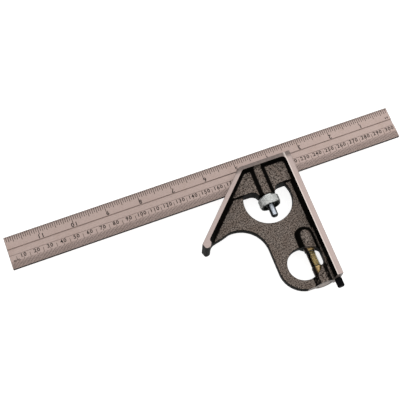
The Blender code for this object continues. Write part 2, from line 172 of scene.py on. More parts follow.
def boolean(target, tool, operation="DIFFERENCE", transfer=False):
    modifier = target.modifiers.new(tool.name, "BOOLEAN")
    modifier.operation = operation
    modifier.object = tool
    modifier.solver = "EXACT"
    if transfer:
        modifier.material_mode = "TRANSFER"
    tool.hide_render = True


def apply(obj, *tools):
    """Turns an object's modifiers into its mesh, and removes the tools that they used."""
    graph = bpy.context.evaluated_depsgraph_get()
    mesh = bpy.data.meshes.new_from_object(obj.evaluated_get(graph), depsgraph=graph)
    obj.modifiers.clear()
    obj.data = mesh
    for tool in tools:
        bpy.data.objects.remove(tool, do_unlink=True)
    return obj


def bevel(obj, width, segments=2, angle=40):
    modifier = obj.modifiers.new("soft_edges", "BEVEL")
    modifier.width = width * MM
    modifier.segments = segments
    modifier.limit_method = "ANGLE"
    modifier.angle_limit = radians(angle)
    return obj


def smooth(obj, angle=35):
    obj.data.shade_smooth()
    obj.data.set_sharp_from_angle(angle=radians(angle))
    return obj


def arc(centre, radius, start, end, steps):
    angles = [radians(start + (end - start) * i / steps) for i in range(steps + 1)]
    return [(centre[0] + radius * cos(a), centre[1] + radius * sin(a)) for a in angles]


def rounded(points, steps=6):
    """An outline from (x, y, radius), each corner turned into an arc that touches both its sides."""
    outline = []
    for i, (x, y, radius) in enumerate(points):
        if radius == 0:
            outline.append((x, y))
            continue
        corner = Vector((x, y))
        before = (Vector(points[i - 1][:2]) - corner).normalized()
        after = (Vector(points[(i + 1) % len(points)][:2]) - corner).normalized()
        half = before.angle(after) / 2
        centre = corner + (before + after).normalized() * radius / sin(half)
        start = corner + before * radius / tan(half) - centre
        end = corner + after * radius / tan(half) - centre
        first = atan2(start.y, start.x)
        sweep = (atan2(end.y, end.x) - first + pi) % (2 * pi) - pi
        outline += arc(centre, radius, first * 180 / pi, (first + sweep) * 180 / pi, steps)
    return outline


def loft(name, low, z_low, high, z_high, materials=()):
    """A closed solid between two outlines with the same number of points."""
    bm = bmesh.new()
    under = [bm.verts.new(place(x, y, z_low)) for x, y in low]
    over = [bm.verts.new(place(x, y, z_high)) for x, y in high]
    bm.faces.new(under)
    bm.faces.new(over)
    for i in range(len(low)):
        j = (i + 1) % len(low)
        bm.faces.new((under[i], under[j], over[j], over[i]))
    bmesh.ops.recalc_face_normals(bm, faces=bm.faces)
    return mesh_object(name, bm, materials)


def prism(name, outline, half, materials=()):
    return loft(name, outline, -half, outline, half, materials)


def block(name, low, high, materials=()):
    outline = [(low[0], low[1]), (high[0], low[1]), (high[0], high[1]), (low[0], high[1])]
    return loft(name, outline, low[2], outline, high[2], materials)


def turned(name, profile, x, materials=(), steps=64, relief=None, phase=0.0):
    """A solid turned about a line along y; relief(turn, y) lowers the points marked in the profile."""
    bm = bmesh.new()
    rings = []
    for point in profile:
        radius, y = point[:2]
        if radius < 1e-6:
            rings.append([bm.verts.new(place(x, y))] * steps)
            continue
        ring = []
        for i in range(steps):
            turn = i / steps
            reach = radius - relief(turn, y) if len(point) > 2 else radius
            angle = 2 * pi * turn + phase
            ring.append(bm.verts.new(place(x + reach * cos(angle), y, reach * sin(angle))))
        rings.append(ring)
    closed = profile[0][0] > 1e-6
    for a in range(len(rings) if closed else len(rings) - 1):
        first, second = rings[a], rings[(a + 1) % len(rings)]
        for i in range(steps):
            j = (i + 1) % steps
            face = dict.fromkeys((first[i], first[j], second[j], second[i]))
            if len(face) > 2:
                bm.faces.new(list(face))
    bmesh.ops.recalc_face_normals(bm, faces=bm.faces)
    return mesh_object(name, bm, materials)


def rows(radius, top, end, count):
    """Marked profile points down a band that carries relief."""
    return [(radius, top + (end - top) * i / count, True) for i in range(count + 1)]


def ridge(value):
    """A triangle wave: 0 on the crest, 1 in the valley."""
    return abs((value % 1.0) * 2 - 1)


def wire(name, points, radius, resolution, material, closed=False):
    """A round wire through points."""
    curve = bpy.data.curves.new(name, "CURVE")
    curve.dimensions = "3D"
    curve.bevel_depth = radius * MM
    curve.bevel_resolution = resolution
    curve.use_fill_caps = not closed
    spline = curve.splines.new("POLY")
    spline.points.add(len(points) - 1)
    spline.use_cyclic_u = closed
    for knot, point in zip(spline.points, points):
        knot.co = (*place(*point), 1)
    obj = bpy.data.objects.new(name, curve)
    bpy.context.scene.collection.objects.link(obj)
    curve.materials.append(material)
    return obj


def distance_off(face, x):
    """A face's middle in the blade's frame, and how far it is from the line along y at x."""
    middle = (face.center - ORIGIN) / MM
    return middle, Vector((middle.x - x, middle.z)).length


# ---------------------------------------------------------------- materials

class Finish:
    """One procedural material on a Principled shader, in object coordinates."""

    def __init__(self, name, colour, roughness, metallic=0.0, **sockets):
        self.material = bpy.data.materials.new(name)
        self.material.use_nodes = True
        self.tree = self.material.node_tree
        self.shader = self.tree.nodes["Principled BSDF"]
        self.set("Base Color", (*colour, 1.0))
        self.set("Roughness", roughness)
        self.set("Metallic", metallic)
        for label, value in sockets.items():
            self.set(label.replace("_", " "), value)
        self.place = self.node("ShaderNodeTexCoord")
        self.where = self.place.outputs["Object"]

    def set(self, label, value):
        self.shader.inputs[label].default_value = value

    def node(self, kind, inputs=None, **settings):
        node = self.tree.nodes.new(kind)
        for key, value in settings.items():
            setattr(node, key, value)
        for key, value in (inputs or {}).items():
            if isinstance(value, bpy.types.NodeSocket):
                self.tree.links.new(value, node.inputs[key])
            else:
                node.inputs[key].default_value = value
        return node

    def stretched(self, x, y, z):
        return self.node("ShaderNodeMapping", {"Vector": self.where, "Scale": (x, y, z)}).outputs[0]

    def noise(self, size, detail=3.0, rough=0.5, where=None):
        """Noise from 0 to 1 with features of about size millimetres."""
        return self.node("ShaderNodeTexNoise", {"Vector": where or self.where, "Scale": 1 / (size * MM),
                                                "Detail": detail, "Roughness": rough}).outputs["Fac"]

    def cells(self, size, feature="F1"):
        return self.node("ShaderNodeTexVoronoi", {"Vector": self.where, "Scale": 1 / (size * MM)},
                         feature=feature).outputs["Distance"]

    def math(self, operation, first, second=0.0):
        return self.node("ShaderNodeMath", {0: first, 1: second}, operation=operation).outputs[0]

    def ramp(self, value, low, high, from_value=0.0, to_value=1.0):
        """A clamped straight line: value from low to high becomes from_value to to_value."""
        return self.node("ShaderNodeMapRange", {"Value": value, "From Min": low, "From Max": high,
                                                "To Min": from_value, "To Max": to_value}).outputs[0]

    def axis(self, index):
        """One object coordinate in the blade's frame, in millimetres."""
        along = self.node("ShaderNodeSeparateXYZ", {0: self.where}).outputs[index]
        return self.math("MULTIPLY", self.math("SUBTRACT", along, ORIGIN[index]), 1 / MM)

    def normal(self, index):
        """One coordinate of the direction that the surface faces."""
        return self.node("ShaderNodeSeparateXYZ", {0: self.place.outputs["Normal"]}).outputs[index]

    def near(self, x, top, end):
        """Millimetres from the line that runs along y from top to end, seen from the front."""
        across = self.math("SUBTRACT", self.axis(0), x)
        above = self.math("MAXIMUM", self.math("SUBTRACT", self.axis(1), top), 0.0)
        below = self.math("MAXIMUM", self.math("SUBTRACT", end, self.axis(1)), 0.0)
        off = self.math("ADD", above, below)
        square = self.math("ADD", self.math("MULTIPLY", across, across), self.math("MULTIPLY", off, off))
        return self.math("SQRT", square)

    def flank(self):
        """Where painted shade goes: 0 down the vial's left flank and its right edge, 1 along its front."""
        return self.math("MULTIPLY", self.ramp(self.axis(0), VIAL_X - 2.1, VIAL_X - 0.9),
                         self.ramp(self.axis(0), VIAL_X + 3.1, VIAL_X + 3.4, 1.0, 0.1))

    def mix(self, factor, first, second):
        node = self.node("ShaderNodeMix", data_type="RGBA")
        for socket, value in ((node.inputs[0], factor), (node.inputs[6], first), (node.inputs[7], second)):
            if isinstance(value, bpy.types.NodeSocket):
                self.tree.links.new(value, socket)
            else:
                socket.default_value = value if isinstance(value, float) else (*value, 1.0)
        return node.outputs[2]

    def link(self, value, label):
        self.tree.links.new(value, self.shader.inputs[label])

    def bump(self, height, depth, strength=1.0):
        """Bump that is depth millimetres deep for a height from 0 to 1."""
        node = self.node("ShaderNodeBump", {"Height": height, "Strength": strength, "Distance": depth * MM})
        self.link(node.outputs[0], "Normal")


def enamel():
    """Hammered enamel: mottled on the faces that look forwards or back, gloss black on every wall, partly as
    its colour and partly as painted shade.
    """
    dark, light, black = (0.022, 0.018, 0.015), (0.32, 0.265, 0.23), (0.0034, 0.003, 0.0024)
    f = Finish("hammered_enamel", light, 0.4, 0.0, Specular_IOR_Level=0.01)
    normal = f.math("ABSOLUTE", f.normal(2))
    # walls that turn away from the front go black: partly the enamel's colour, partly painted shade
    facing = f.ramp(normal, 0.89, 0.95)
    outside_shade = 1.0
    deep = f.math("ABSOLUTE", f.axis(2))
    # painted shade: a black band round each boss; painted highlight: a mottled strip down its front
    for x, crown, shift, inner, outer, end, height in BOSS_SHADE_AND_HIGHLIGHT:
        edge = f.near(x + shift, crown - shift, end)
        rim = f.near(x, crown, end)
        shade_band_mask = f.math("MULTIPLY", f.ramp(edge, inner - 0.4, inner + 0.3),
                      f.ramp(rim, outer - 0.3, outer + 0.4, 1, 0))
        strip = f.math("MULTIPLY", f.ramp(edge, inner - 0.6, inner, 0.8, 0),
                       f.ramp(deep, height - 0.1, height, 1, 0))
        facing = f.math("MAXIMUM", facing, strip)
        outside_shade = f.math("MULTIPLY", outside_shade, f.math("SUBTRACT", 1.0, shade_band_mask))
    facing = f.math("MULTIPLY", facing, outside_shade)
    blotch = f.noise(0.75, 3.0, 0.6)
    vein = f.cells(1.0, "SMOOTH_F1")
    spots = f.math("ADD", f.ramp(blotch, 0.38, 0.62), f.ramp(vein, 0.2, 0.8, 0.2, -0.3))
    hue = f.mix(f.ramp(f.noise(5.0), 0.35, 0.65), light, (0.27, 0.21, 0.175))
    mottled = f.mix(f.ramp(spots, 0.1, 0.9), dark, hue)
    leaning = f.ramp(normal, 0.45, 0.8)
    specks = f.math("MULTIPLY", leaning, f.ramp(spots, 0.75, 1.1, 0.0, 0.45))
    wall = f.mix(f.math("MULTIPLY", specks, outside_shade), black, hue)
    f.link(f.mix(facing, wall, mottled), "Base Color")
    f.link(f.ramp(blotch, 0.3, 0.7, 0.5, 0.34), "Roughness")
    f.bump(f.math("MULTIPLY", spots, facing), 0.12, 0.6)
    return f.material


def satin(name, colour, roughness, along=(1.0, 1.0, 1.0), grain=0.25, contrast=0.2, metallic=0.9,
          gloss=0.5):
    """Ground or brushed metal, with its scratches drawn out along one direction."""
    f = Finish(name, colour, roughness, metallic, Specular_IOR_Level=gloss)
    fine = f.noise(grain, 4.0, 0.7, f.stretched(*along))
    broad = f.noise(9.0, 3.0, 0.6)
    shade = tuple(c * (1 - contrast) for c in colour)
    bright = tuple(min(1.0, c * (1 + contrast)) for c in colour)
    streaks = f.mix(f.ramp(fine, 0.3, 0.7), shade, bright)
    stain = tuple(c * k for c, k in zip(colour, (0.86, 0.82, 0.78)))
    f.link(f.mix(f.ramp(broad, 0.5, 0.75, 0.0, 0.45), streaks, stain), "Base Color")
    f.link(f.ramp(fine, 0.2, 0.8, roughness - 0.08, roughness + 0.1), "Roughness")
    f.bump(fine, 0.012, 0.5)
    return f.material


def front_lit(name, dark, dull, bright, span, grain):
    """Plated steel: a painted highlight where it looks forwards or back, painted shade on its flanks and lower
    end.
    """
    f = Finish(name, dull, 0.3, 0.85)
    facing = f.ramp(f.math("ABSOLUTE", f.normal(2)), *span)
    under = f.ramp(f.normal(1), -0.75, -0.35)
    speck = f.noise(grain, 2.0, 0.6)
    plate = f.mix(f.ramp(speck, 0.40, 0.56), dull, bright)
    # painted highlight on the faces that look forwards or back, painted shade on the flanks and the faces that
    # look down
    f.link(f.mix(f.math("MULTIPLY", facing, under), dark, plate), "Base Color")
    f.link(f.ramp(speck, 0.3, 0.7, 0.36, 0.24), "Roughness")
    f.bump(speck, 0.02, 0.5)
    return f.material


def ground_rim():
    """Cast iron ground bare: bright on flat faces, browner with painted shade on its sides and top, and a
    painted highlight along its inner edge.
    """
    f = Finish("ground_rim", (0.50, 0.40, 0.37), 0.42, 0.9)
    across = f.noise(0.28, 4.0, 0.7, f.stretched(1.0, 0.3, 1.0))
    flat = f.ramp(f.math("ABSOLUTE", f.normal(2)), 0.75, 0.97)
    # painted shade: darker towards the top of the head
    level = f.ramp(f.axis(1), HEAD_TOP - 5.5, HEAD_TOP - 2.6, 1.0, 0.25)
    unshaded_flat = f.math("MULTIPLY", flat, level)
    tone = f.mix(f.ramp(across, 0.3, 0.7), (0.40, 0.315, 0.29), (0.56, 0.46, 0.43))
    dull = f.mix(f.ramp(f.noise(1.2), 0.35, 0.65), (0.07, 0.052, 0.045), (0.14, 0.108, 0.092))
    plain = f.mix(unshaded_flat, dull, tone)
    inside = SQUARE_FACE - RIM_RIGHT
    # painted highlight: a bright line along the right rim's inner edge
    wear_and_highlight = f.math("MULTIPLY", flat, f.ramp(f.axis(0), inside + 0.5, inside + 0.9, 0.55, 0.0))
    wear_and_highlight = f.math("MULTIPLY", wear_and_highlight, f.ramp(f.axis(0), inside - 1, inside))
    f.link(f.mix(wear_and_highlight, plain, (0.95, 0.85, 0.78)), "Base Color")
    f.link(f.ramp(unshaded_flat, 0.0, 1.0, 0.15, 0.9), "Metallic")
    f.link(f.ramp(across, 0.2, 0.8, 0.36, 0.52), "Roughness")
    f.bump(across, 0.012, 0.5)
    return f.material


def ink():
    f = Finish("engraved_black", (0.015, 0.012, 0.011), 0.6, 0.1, Specular_IOR_Level=0.1)
    wear_and_highlight = f.ramp(f.noise(0.6, 3.0), 0.45, 0.75)
    f.link(f.mix(wear_and_highlight, (0.010, 0.008, 0.007), (0.05, 0.038, 0.033)), "Base Color")
    f.bump(f.noise(0.15), 0.01)
    return f.material


def clear(name, colour, roughness, transmission, ior, tint, size, shade=None):
    """A clear or milky body; shade is a painted shade colour down its left flank and right edge."""
    f = Finish(name, colour, roughness, 0.0, Transmission_Weight=transmission, IOR=ior)
    body = f.mix(f.ramp(f.noise(size, 2.0), 0.35, 0.65), colour, tint)
    if shade:
        body = f.mix(f.flank(), shade, body)
    f.link(body, "Base Color")
    return f.material


def aged_brass():
    f = Finish("satin_brass", (0.42, 0.31, 0.15), 0.34, 0.8)
    stain = f.noise(1.1, 4.0, 0.6)
    metal = f.mix(f.ramp(stain, 0.35, 0.6), (0.20, 0.125, 0.05), (0.62, 0.44, 0.20))
    # painted shade down the vial's left flank and right edge
    f.link(f.mix(f.flank(), (0.018, 0.012, 0.008), metal), "Base Color")
    f.link(f.ramp(stain, 0.3, 0.7, 0.45, 0.28), "Roughness")
    f.bump(stain, 0.02, 0.5)
    return f.material


STEEL = (0.44, 0.342, 0.308)
FLANK_SHADE = (0.02, 0.013, 0.009)
ENAMEL = enamel()
GROUND = ground_rim()
BLADE_FACE = satin("satin_blade", STEEL, 0.42, (0.18, 1.0, 1.0), 0.3, 0.22)
# Near-black painted shade for the blade's edges and ends
BLADE_EDGE_SHADE = satin("blade_edge_shade", (0.022, 0.02, 0.021), 0.6, (0.1, 1.0, 1.0), 0.3, 0.3, 0.1, 0.05)
INK = ink()
# The nut's plating and the bolt's blued steel: painted highlights on their fronts, painted shade on their
# flanks
KNURLED = front_lit("zinc_plate_painted_light", (0.10, 0.105, 0.10), (0.36, 0.37, 0.355), (0.80, 0.81, 0.79),
                    (0.14, 0.34), 0.55)
# Near-black painted shade for the nut's collar groove, underside and hollow
RECESS_SHADE = satin("nut_recess_shade", (0.012, 0.016, 0.014), 0.55, (1.0, 1.0, 1.0), 0.5, 0.3, 0.1, 0.1)
BLUED_PAINTED_LIGHT = front_lit("blued_steel_painted_light", (0.010, 0.012, 0.016), (0.50, 0.56, 0.64), (0.88, 0.93, 1.0),
                  (0.72, 0.93), 0.9)
WIRE = satin("spring_wire", (0.45, 0.45, 0.46), 0.3, (1.0, 1.0, 1.0), 0.2, 0.15)
BRASS = aged_brass()
PLUG = satin("plug_metal", (0.27, 0.225, 0.20), 0.5, (1.0, 1.0, 0.3), 0.4, 0.25, 0.3, 0.2)
POLISHED = satin("polished_steel", (0.5, 0.5, 0.52), 0.22, (1.0, 0.2, 1.0), 0.25, 0.1)
KNOB = satin("black_knob", (0.006, 0.006, 0.007), 0.45, (1.0, 1.0, 1.0), 0.4, 0.3, 0.0, 0.03)
# The glass and the spirit carry painted shade down the vial's left flank and right edge
GLASS = clear("vial_clear", (0.95, 0.93, 0.84), 0.02, 1.0, 1.12, (0.93, 0.90, 0.78), 6.0, FLANK_SHADE)
SPIRIT = clear("vial_liquid", (0.34, 0.265, 0.115), 0.12, 0.05, 1.36, (0.28, 0.21, 0.085), 4.0, FLANK_SHADE)
BUBBLE = clear("vial_bubble", (0.60, 0.47, 0.24), 0.2, 0.1, 1.36, (0.52, 0.40, 0.20), 2.0)
BUBBLE_EDGE = clear("vial_meniscus", (0.78, 0.64, 0.40), 0.2, 0.0, 1.36, (0.70, 0.56, 0.33), 1.0)
RING = satin("ring_black", (0.012, 0.010, 0.008), 0.4, (1.0, 1.0, 1.0), 0.3, 0.3, 0.0)


def finish(obj, body, slot, *nodes):
    """Puts a piece on its body and hides the CAD nodes that it stands for; slot is not used."""
    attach(obj, body)
    if nodes:
        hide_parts(*nodes)


# ---------------------------------------------------------------- head

def cast_outline():
    """The casting before grinding: its machined sides stand proud."""
    mitre = MITRE_LINE - PROUD * sqrt(2)
    right = SQUARE_FACE + PROUD
    top = HEAD_TOP + PROUD
    start = rounded([(right, top, 0), (top + mitre, top, 0), (TOE, TOE - mitre, 0.6), *TOE_CORNERS,
                     (*TOE_END, 0), (*PALM_TANGENT, 0)])[:-2]
    palm = arc(PALM_CENTRE, PALM_RADIUS, PALM_START, 0, 28)
    heel = arc(SMALL_HOLE[:2], SMALL_HOLE[0] - GRIP_SIDE, 180, 270, 20)
    return start + palm + heel[:-1] + [(SMALL_HOLE[0], FOOT - PROUD), (right, FOOT - PROUD)]


def ground_outline():
    """The machined sides exactly, and everything else well outside the casting."""
    far = TOE - 6
    return [(SQUARE_FACE, HEAD_TOP), (HEAD_TOP + MITRE_LINE, HEAD_TOP), (far, far - MITRE_LINE),
            (far, FOOT), (SQUARE_FACE, FOOT)]


def pocket_outline(z):
    rise = (HALF_HEAD - z) / (HALF_HEAD - WEB)
    right = SQUARE_FACE - RIM_RIGHT - DRAFT_RIGHT * rise
    top = HEAD_TOP - RIM_TOP - DRAFT_TOP * rise
    line = MITRE_LINE + (RIM_MITRE + DRAFT_MITRE * rise) * sqrt(2)
    toe = POCKET_TOE + POCKET_TOE_DRAFT * rise
    side = toe + 9
    return rounded([(right, top, 3.0), (line + top, top, 2.0), (toe, toe - line, 2.0),
                    (side, toe - line - 9, 0), (side, FOOT - 9, 0), (right, FOOT - 9, 0)])


def housing_outline():
    height = HOUSING_FOOT - BOSS_END - 0.4
    side = BOSS_RADIUS - 0.4
    inside = MITRE_LINE + RIM_MITRE / 2 * sqrt(2)
    right = SQUARE_FACE - RIM_RIGHT / 2
    top = HEAD_TOP - RIM_TOP / 2
    left_flare = [(BOLT_X - side - FLARE_WIDTH * (1 - x), HOUSING_FOOT - height * (1 - y))
                  for x, y in arc((0, 0), 1.0, 90, 0, 8)]
    right_flare = [(2 * BOLT_X - x, y) for x, y in reversed(left_flare)]
    return [(right, top), (inside + top, top), (inside + HOUSING_FOOT + 0.4, HOUSING_FOOT + 0.4),
            *left_flare, *right_flare, (right, HOUSING_FOOT + 0.2)]


def dome(radius, top, depth, steps=8):
    turns = [pi / 2 * i / steps for i in range(steps + 1)]
    return [(radius * sin(a), top - depth + depth * cos(a)) for a in turns]


def build_head():
    thick = HALF_HEAD + PROUD
    low = FOOT - PROUD
    cast = prism("head_cast", cast_outline(), thick)
    tools = []

    def use(tool, operation="DIFFERENCE"):
        boolean(cast, tool, operation)
        tools.append(tool)

    for side in (1, -1):
        mouth = pocket_outline(thick + PROUD)
        use(loft("pocket", pocket_outline(WEB), side * WEB, mouth, side * (thick + PROUD)))
    use(prism("big_hole", arc(BIG_HOLE[:2], BIG_HOLE[2], 2, 357, 71), thick + 2))
    use(prism("slot_housing", housing_outline(), HOUSING), "UNION")
    boss_top = HEAD_TOP - RIM_TOP / 2
    use(turned("clamp_boss", [(0, boss_top), (BOSS_RADIUS, boss_top), (BOSS_RADIUS, BOSS_END),
                              (0, BOSS_END)], BOLT_X, phase=0.02), "UNION")
    for x, boss in ((VIAL_X, VIAL_BOSS), (SCRIBER_X, SCRIBER_BOSS)):
        use(turned("boss", dome(*boss) + [(boss[0], low), (0, low)], x, steps=48, phase=0.03), "UNION")
    use(prism("small_hole", arc(SMALL_HOLE[:2], SMALL_HOLE[2], 1, 355, 59), thick + 2))
    left, right, top, bottom = VIAL_WINDOW
    use(prism("vial_window", rounded([(left, top, 0), (right, top, 5.0), (right, bottom, 5.0),
                                      (left, bottom, 0)]), thick + 2))
    apply(cast, *tools)

    remesh = cast.modifiers.new("cast_skin", "REMESH")
    remesh.mode = "VOXEL"
    remesh.voxel_size = SKIN_VOXEL * MM
    soften = cast.modifiers.new("cast_fillets", "SMOOTH")
    soften.factor = 0.5
    soften.iterations = SKIN_PASSES
    thin = cast.modifiers.new("fewer_faces", "DECIMATE")
    thin.ratio = SKIN_KEPT
    apply(cast)
    cast.data.materials.clear()
    cast.data.materials.append(ENAMEL)

    ground = bevel(prism("ground_envelope", ground_outline(), HALF_HEAD, [GROUND]), 0.35, 3, 30)
    beyond = SQUARE_FACE + 6
    half_slot = HALF_BLADE + 0.05
    bore, bore_top = SCRIBER_BORE
    bush, bush_top = BUSH_BORE
    knob_low = corners("scriber_knob")[0]
    cuts = [
        block("rim_end", (knob_low.x - 0.4, FOOT - 6, -thick), (beyond, RIM_FOOT, thick), [GROUND]),
        block("slot", (TOE - 9, -BLADE_WIDTH - 0.05, -half_slot), (beyond, 2, half_slot), [GROUND]),
        turned("clamp_bore", [(0, HEAD_TOP + 3), (BORE_RADIUS, HEAD_TOP + 3), (BORE_RADIUS, BORE_END),
                              (STUD_BORE_RADIUS, BORE_END), (STUD_BORE_RADIUS, BOSS_END - 2),
                              (0, BOSS_END - 2)], BOLT_X, [GROUND]),
        turned("vial_bore", [(0, VIAL_BORE_TOP), (VIAL_BORE_RADIUS, VIAL_BORE_TOP),
                             (VIAL_BORE_RADIUS, PLUG_SEAT), (PLUG_SEAT_RADIUS, PLUG_SEAT),
                             (PLUG_SEAT_RADIUS, FOOT - 2), (0, FOOT - 2)], VIAL_X, [GROUND]),
        turned("scriber_bore", [(0, bore_top), (bore, bore_top), (bore, bush_top), (bush, bush_top),
                                (bush, FOOT - 2), (0, FOOT - 2)], SCRIBER_X, [GROUND], 32),
    ]
    for cut in cuts:
        boolean(ground, cut)
    apply(ground, *cuts)
    boolean(cast, ground, "INTERSECT", transfer=True)
    apply(cast, ground)
    smooth(cast, 38)
    finish(cast, "head", "head_enamel", "head_casting")


# ---------------------------------------------------------------- blade

EDGE = 0.2
LIP = 0.14
TICK_DEPTH = 0.07
COMB_TOP = 6.9
COMB_FOOT = 9.2
INCH = 25.4
FACE = {"steel": 0, "edge": 1, "ink": 2}

# Graduation lengths of each inch scale: for the whole inch, its half, its quarter and so on
SCALE_64 = (6.4, 5.6, 5.0, 4.5, 4.0, 2.2, 1.5)
SCALE_32 = (6.3, 5.4, 4.7, 4.0, 3.2, 2.4)
SCALE_16 = (6.3, 5.4, 4.7, 4.0, 3.2)


def inch_ticks(per_inch, lengths, reverse):
    """(x, width, length) of each graduation, from the left."""
    ticks = []
    for i in range(1, int(BLADE.x / INCH * per_inch + 0.01)):
        level = 0
        while (i * 2 ** level) % per_inch:
            level += 1
        x = i * INCH / per_inch
        ticks.append((BLADE.x - x if reverse else x, 0.1 if level > 4 else 0.42, lengths[level]))
    return sorted(ticks)


def millimetre_ticks():
    ticks = []
    for i in range(1, int(BLADE.x * 2)):
        length = 4.2
        for step, longer in ((2, 5.6), (10, 8.8), (20, 7.2)):
            if i % step == 0:
                length = longer
        ticks.append((i / 2, 0.3 if i % 2 == 0 else 0.12, length))
    return ticks


def comb(bm, edge_y, direction, reach, ticks, z, side):
    """A strip of the blade's face along one edge, with its graduations sunk into it."""
    def vertex(x, along, depth=0.0):
        return bm.verts.new(place(x, edge_y + direction * along, (z - depth) * side))

    def face(points, kind):
        made = bm.faces.new([vertex(*point) for point in points])
        made.material_index = FACE[kind]

    before = (EDGE, None)
    ends = [(x - w / 2, x + w / 2, length) for x, w, length in ticks]
    for start, end, length in ends + [(BLADE.x - EDGE, None, None)]:
        left, left_length = before
        outline = [(left, EDGE), (start, EDGE)]
        if length:
            outline.append((start, length))
        outline += [(start, reach), (left, reach)]
        if left_length:
            outline.append((left, left_length))
        face(outline, "steel")
        if length is None:
            break
        face([(start, length), (end, length), (end, reach), (start, reach)], "steel")
        face([(start, EDGE, TICK_DEPTH), (end, EDGE, TICK_DEPTH), (end, length, TICK_DEPTH),
              (start, length, TICK_DEPTH)], "ink")
        for x in (start, end):
            face([(x, EDGE), (x, EDGE, TICK_DEPTH), (x, length, TICK_DEPTH), (x, length)], "ink")
        for along in (EDGE, length):
            face([(start, along), (start, along, TICK_DEPTH), (end, along, TICK_DEPTH), (end, along)], "ink")
        before = (end, length)


def rail(bm, points, kind="steel"):
    """Strips that run the blade's length through (y, z) points."""
    for (y0, z0), (y1, z1) in zip(points, points[1:]):
        made = bm.faces.new([bm.verts.new(place(x, y, z)) for x, y, z in
                             ((EDGE, y0, z0), (BLADE.x - EDGE, y0, z0), (BLADE.x - EDGE, y1, z1),
                              (EDGE, y1, z1))])
        made.material_index = FACE[kind]


def build_blade():
    z = HALF_BLADE
    width = BLADE_WIDTH
    floor = z - GROOVE_DEPTH
    bm = bmesh.new()
    comb(bm, 0, -1, COMB_TOP, inch_ticks(64, SCALE_64, True), z, 1)
    comb(bm, -width, 1, COMB_FOOT, millimetre_ticks(), z, 1)
    comb(bm, 0, -1, COMB_TOP, inch_ticks(32, SCALE_32, False), z, -1)
    comb(bm, -width, 1, COMB_TOP, inch_ticks(16, SCALE_16, False), z, -1)
    upper, lower = GROOVE
    groove = [(upper + LIP, z), (upper, z - LIP), (upper, floor + LIP), (upper - LIP, floor),
              (lower + LIP, floor), (lower, floor + LIP), (lower, z - LIP), (lower - 2 * LIP, z)]
    rail(bm, [(-COMB_TOP, z), groove[0]])
    rail(bm, groove[:7])
    # painted shade: the groove's lower lip takes the black ink
    rail(bm, groove[6:], "ink")
    rail(bm, [groove[7], (COMB_FOOT - width, z)])
    rail(bm, [(-COMB_TOP, -z), (COMB_TOP - width, -z)])
    # the long edges and the ends take the near-black edge material: painted shade
    for y, inward in ((0, -1), (-width, 1)):
        rail(bm, [(y + inward * EDGE, z), (y, z - EDGE), (y, EDGE - z), (y + inward * EDGE, -z)], "edge")
    ring = [(-EDGE, z), *groove, (EDGE - width, z), (-width, z - EDGE), (-width, EDGE - z),
            (EDGE - width, -z), (-EDGE, -z), (0, EDGE - z), (0, z - EDGE)]
    squeeze = 1 - EDGE / z
    for x, inner in ((0, EDGE), (BLADE.x, BLADE.x - EDGE)):
        outer = [bm.verts.new(place(inner, y, d)) for y, d in ring]
        end = [bm.verts.new(place(x, min(max(y, EDGE - width), -EDGE), d * squeeze)) for y, d in ring]
        for i in range(len(ring)):
            j = (i + 1) % len(ring)
            bm.faces.new((outer[i], outer[j], end[j], end[i])).material_index = FACE["edge"]
        bm.faces.new(end).material_index = FACE["edge"]
    bmesh.ops.remove_doubles(bm, verts=bm.verts, dist=2e-6)
    bmesh.ops.recalc_face_normals(bm, faces=bm.faces)
    blade = mesh_object("blade_rule", bm, [BLADE_FACE, BLADE_EDGE_SHADE, INK])
    finish(blade, "blade", "blade_steel", "blade")


def letter(text, height):
    """A mesh of flat raised characters, centred on its origin, with capitals of some height."""
    curve = bpy.data.curves.new(text, "FONT")
    curve.body = text
    curve.size = height * MM / 0.7
    curve.align_x = "CENTER"
    curve.align_y = "CENTER"
    curve.extrude = 0.02 * MM
    curve.offset = height * 0.03 * MM
    curve.space_character = 1.25
    curve.resolution_u = 3
    source = bpy.data.objects.new(text, curve)
    bpy.context.scene.collection.objects.link(source)
    graph = bpy.context.evaluated_depsgraph_get()
    mesh = bpy.data.meshes.new_from_object(source.evaluated_get(graph))
    bpy.data.objects.remove(source, do_unlink=True)
    return mesh


def build_numerals():
    """Numbers and unit marks, inlaid in both faces of the blade."""
    bm = bmesh.new()

    def put(text, x, y, height, turn=0, side=1):
        mesh = letter(text, height)
        spin = Matrix.Rotation(radians(turn), 4, "Z")
        if side < 0:
            spin = Matrix.Rotation(pi, 4, "Y") @ spin
        mesh.transform(Matrix.Translation(place(x, y, side * HALF_BLADE)) @ spin)
        bm.from_mesh(mesh)
        bpy.data.meshes.remove(mesh)

    for inch in range(1, int(BLADE.x / INCH + 0.01)):
        put(str(inch), BLADE.x - inch * INCH + 0.7, -7.6, 3.2, 180)
        put(str(inch), BLADE.x - inch * INCH + 1.9, -7.6, 3.0, 0, -1)
        put(str(inch), inch * INCH - 1.9, -BLADE_WIDTH + 7.6, 3.0, 180, -1)
    for tens in range(10, int(BLADE.x), 10):
        put(str(tens), tens, -17.1, 2.8)
    put("mm", 4.6, -19.4, 2.0)
    put("64", BLADE.x - 3.0, -7.9, 1.7, 180)
    put("32", BLADE.x - 3.0, -8.2, 1.7, 0, -1)
    put("16", 3.0, -BLADE_WIDTH + 8.2, 1.7, 180, -1)
    numerals = mesh_object("blade_numerals", bm, [INK])
    finish(numerals, "blade", "blade_steel")


# ---------------------------------------------------------------- clamp

